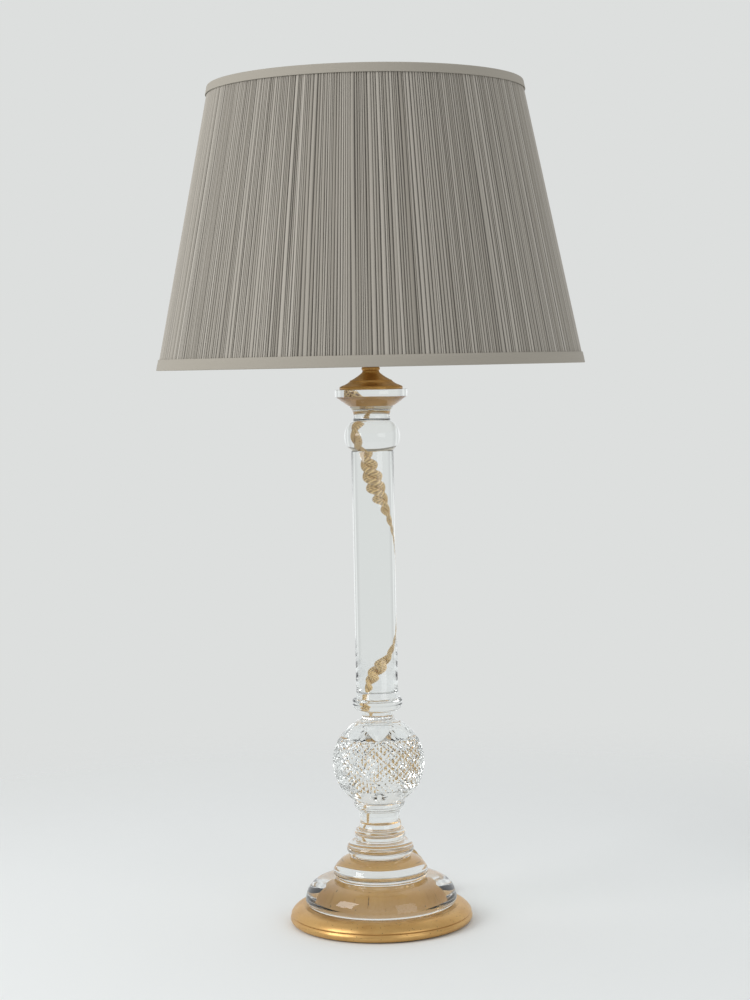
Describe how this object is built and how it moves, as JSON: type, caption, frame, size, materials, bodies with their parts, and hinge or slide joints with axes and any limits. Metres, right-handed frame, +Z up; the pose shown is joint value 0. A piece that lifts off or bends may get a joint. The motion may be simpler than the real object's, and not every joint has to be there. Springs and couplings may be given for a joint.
{
  "type": "table lamp",
  "caption": "Table lamp with a stacked clear glass candlestick column on a gilded round plinth, a gathered taupe cloth drum shade and a twisted gold flex.",
  "frame": {"origin": "on the lamp's axis, on the flat underside of the felt pad", "axes": "+X to the lamp's right as its front is seen, +Y to the back where the flex leaves, +Z up"},
  "size_m": [0.4571, 0.4572, 0.9004],
  "materials": {
    "baize": "felt",
    "gilding": "satin",
    "clear_glass": "clear",
    "brass": "satin",
    "grip_nylon": "satin",
    "switch_black": "polished",
    "spring_steel": "satin",
    "ceramic_white": "polished",
    "cap_aluminium": "satin",
    "solder": "satin",
    "pearl_glass": "frosted",
    "stem_glass": "clear",
    "filament_phosphor": "matte",
    "ring_white": "satin",
    "frame_white": "satin",
    "taupe_silk": "fine gathers",
    "lining_cloth": "plain",
    "taupe_ribbon": "ribbed",
    "gold_braid": "twisted",
    "tie_black": "plain",
    "plug_gold": "satin",
    "nickel": "satin"
  },
  "bodies": {
    "lamp": {"felt_pad": "baize", "gilt_plinth": "gilding", "foot_dome": "clear_glass", "upper_dome": "clear_glass", "knop_ring": "clear_glass", "stem": "clear_glass", "ball_cup": "clear_glass", "cut_ball": "clear_glass", "ball_neck": "clear_glass", "column_collar": "clear_glass", "column_rod": "clear_glass", "column_ball": "clear_glass", "top_cone": "clear_glass", "top_disc": "clear_glass", "gilt_cap": "gilding", "threaded_nipple": "brass", "lock_nut": "brass", "holder_base": "brass", "cord_grip": "grip_nylon", "switch_block": "switch_black", "holder_skirt": "brass", "plunger_spring_front": "spring_steel", "plunger_spring_rear": "spring_steel", "contact_block": "ceramic_white", "shade_ring_lower": "ring_white", "shade_ring_upper": "ring_white", "cord_drop": "gold_braid", "cord_coil": "gold_braid", "cord_tail": "gold_braid", "coil_tie": "tie_black", "plug_boot": "plug_gold", "plug_body": "plug_gold", "plug_pins": "nickel"},
    "switch_bar": {"switch_bar": "switch_black"},
    "plunger_front": {"plunger_front": "brass"},
    "plunger_rear": {"plunger_rear": "brass"},
    "bulb": {"bulb_cap": "cap_aluminium", "bulb_insulator": "switch_black", "bulb_contacts": "solder", "bulb_glass": "pearl_glass", "bulb_stem": "stem_glass", "bulb_filaments": "filament_phosphor"},
    "carrier": {"carrier_plate": "frame_white", "carrier_uprights": "frame_white", "carrier_top_ring": "frame_white"},
    "shade": {"gimbal_ring": "frame_white", "gimbal_arms": "frame_white", "shade_struts": "frame_white", "shade_bottom_wire": "frame_white", "shade_top_wire": "frame_white", "shade_cover": "taupe_silk", "shade_lining": "lining_cloth", "top_trim": "taupe_ribbon", "bottom_trim": "taupe_ribbon"}
  },
  "joints": [
    {"name": "switch_push", "type": "slide", "parent": "lamp", "child": "switch_bar", "axis": [1, 0, 0], "range_m": [0, 0.006]},
    {"name": "plunger_front_push", "type": "slide", "parent": "lamp", "child": "plunger_front", "axis": [0, 0, -1], "range_m": [0, 0.002], "stiffness_N_per_m": 300, "deforming": ["plunger_spring_front"]},
    {"name": "plunger_rear_push", "type": "slide", "parent": "lamp", "child": "plunger_rear", "axis": [0, 0, -1], "range_m": [0, 0.002], "stiffness_N_per_m": 300, "deforming": ["plunger_spring_rear"]},
    {"name": "bulb_twist", "type": "hinge", "parent": "lamp", "child": "bulb", "pos_m": [0, 0, 0.6599], "axis": [0, 0, 1], "range_deg": [0, 19]},
    {"name": "shade_turn", "type": "hinge", "parent": "lamp", "child": "carrier", "pos_m": [0, 0, 0.6429], "axis": [0, 0, 1], "continuous": true},
    {"name": "shade_lift", "type": "slide", "parent": "carrier", "child": "shade", "axis": [0, 0, 1], "range_m": [0, 0.25]}
  ]
}
